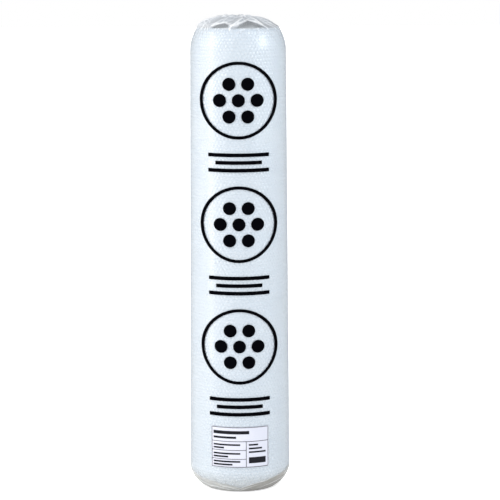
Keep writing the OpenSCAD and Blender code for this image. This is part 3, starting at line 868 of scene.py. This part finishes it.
def floor_material():
    material, tree = new_material("studio_floor")
    white = node(tree, "ShaderNodeEmission", {"Color": WHITE, "Strength": FLOOR_LIFT}).outputs["Emission"]
    pale = node(tree, "ShaderNodeBsdfDiffuse", {"Color": FLOOR_SEEN}).outputs["BSDF"]
    dull = node(tree, "ShaderNodeBsdfDiffuse", {"Color": FLOOR_LIGHT}).outputs["BSDF"]
    lifted = node(tree, "ShaderNodeAddShader", {0: pale, 1: white}).outputs["Shader"]
    both = node(tree, "ShaderNodeMixShader", {0: seen_rays(tree), 1: dull, 2: lifted})
    node(tree, "ShaderNodeOutputMaterial", {"Surface": both.outputs["Shader"]})
    return material


def lay_floor():
    mesh = bpy.data.meshes.new("floor")
    signs = ((-1, -1), (1, -1), (1, 1), (-1, 1))
    corners = [(x * FLOOR_HALF, y * FLOOR_HALF, FLOOR_Z) for x, y in signs]
    mesh.from_pydata(corners, [], [(0, 1, 2, 3)])
    mesh.materials.append(floor_material())
    floor = bpy.data.objects.new("floor", mesh)
    bpy.context.scene.collection.objects.link(floor)


lay_floor()
print("the floor is", 2 * FLOOR_HALF, "m wide")

# %% [markdown]
# The room could be many lamps, but a world with a level that slants needs none of their
# noise. It is a little lighter towards the left and the front, and clearly darker on the
# right, so that the roll has a light side and a dark side.

# %% The room
ROOM_COLOUR = (0.955, 0.98, 1.01, 1)
ROOM_LEVEL = 1.19
ROOM_SLANT = (-0.22, -0.26, 0.0)
ROOM_DARK_RIGHT = -0.75


def light_room():
    """Level = 1.19 + direction . slant - 0.75 x (share to the right) squared."""
    world = bpy.data.worlds.new("room")
    bpy.context.scene.world = world
    world.use_nodes = True
    tree = world.node_tree
    tree.nodes.clear()
    way = node(tree, "ShaderNodeTexCoord").outputs["Generated"]
    slant = node(tree, "ShaderNodeVectorMath", {0: way, 1: ROOM_SLANT}, operation="DOT_PRODUCT")
    right = node(tree, "ShaderNodeSeparateXYZ", {"Vector": way}).outputs["X"]
    right = maths(tree, "MAXIMUM", right, 0.0)
    dark = maths(tree, "MULTIPLY", maths(tree, "POWER", right, 2.0), ROOM_DARK_RIGHT)
    level = maths(tree, "ADD", slant.outputs["Value"], ROOM_LEVEL)
    level = maths(tree, "ADD", level, dark)
    room = node(tree, "ShaderNodeBackground", {"Color": ROOM_COLOUR, "Strength": level})
    white = node(tree, "ShaderNodeBackground", {"Color": WHITE, "Strength": 1.0})
    inputs = {0: seen_rays(tree), 1: room.outputs["Background"], 2: white.outputs["Background"]}
    both = node(tree, "ShaderNodeMixShader", inputs)
    node(tree, "ShaderNodeOutputWorld", {"Surface": both.outputs["Shader"]})


light_room()
print("the room's level is", ROOM_LEVEL)

# %% [markdown]
# A tall narrow lamp on the left lays a soft band of light down the roll, and a weaker one
# stands on the right. Two high ones light the shoulders and make the bubbles glint.

# %% Lamps
def softbox(name, place, aim, size, watts, colour):
    light = bpy.data.lights.new(name, "AREA")
    light.shape = "RECTANGLE"
    light.size, light.size_y = size
    light.energy = watts
    light.color = colour
    lamp = bpy.data.objects.new(name, light)
    turn = (Vector(aim) - Vector(place)).to_track_quat("-Z", "Y").to_matrix().to_4x4()
    lamp.matrix_world = Matrix.Translation(place) @ turn
    bpy.context.scene.collection.objects.link(lamp)
    print(name, "has", watts, "W")


MID_ROLL, ROLL_SHOULDER = (0, 0, 0.9), (0, 0, 1.6)
softbox("lamp_left", (-2.2, -0.95, 1.2), MID_ROLL, (0.5, 2.4), 14, (1.0, 0.93, 0.82))
softbox("lamp_right", (2.6, -2.4, 1.1), MID_ROLL, (0.9, 2.4), 4, (0.88, 0.96, 1.0))
softbox("lamp_high_left", (-2.7, -1.05, 2.9), ROLL_SHOULDER, (1.0, 1.3), 25, (1.0, 0.98, 0.95))
softbox("lamp_high_right", (2.6, -1.25, 2.8), ROLL_SHOULDER, (1.3, 1.5), 38, (0.92, 0.97, 1.0))

# %% [markdown]
# The camera stands well back, a little above the roll's head, where a photographer would
# stand with a long lens. Its place was fitted to the outline in the photograph.

# %% Camera
CAMERA_PLACE = Vector((0.0, -8.0, 2.1033))
CAMERA_AIM = Vector((0.0394, 0.0, 0.8604))
CAMERA_ROLL = -0.0042
FRAME_PIXELS = 500
FOCAL_PIXELS = 281.057 * 8.0
SENSOR = 36.0
camera = bpy.data.cameras.new("camera")
camera.sensor_width = SENSOR
camera.lens = FOCAL_PIXELS / FRAME_PIXELS * SENSOR
camera_object = bpy.data.objects.new("camera", camera)
aimed = (CAMERA_AIM - CAMERA_PLACE).to_track_quat("-Z", "Y").to_matrix().to_4x4()
rolled = Matrix.Rotation(CAMERA_ROLL, 4, "Z")
camera_object.matrix_world = Matrix.Translation(CAMERA_PLACE) @ aimed @ rolled
bpy.context.scene.collection.objects.link(camera_object)
bpy.context.scene.camera = camera_object
bpy.context.scene.view_settings.view_transform = "Standard"
print("the camera's lens is", round(camera.lens, 1), "mm")
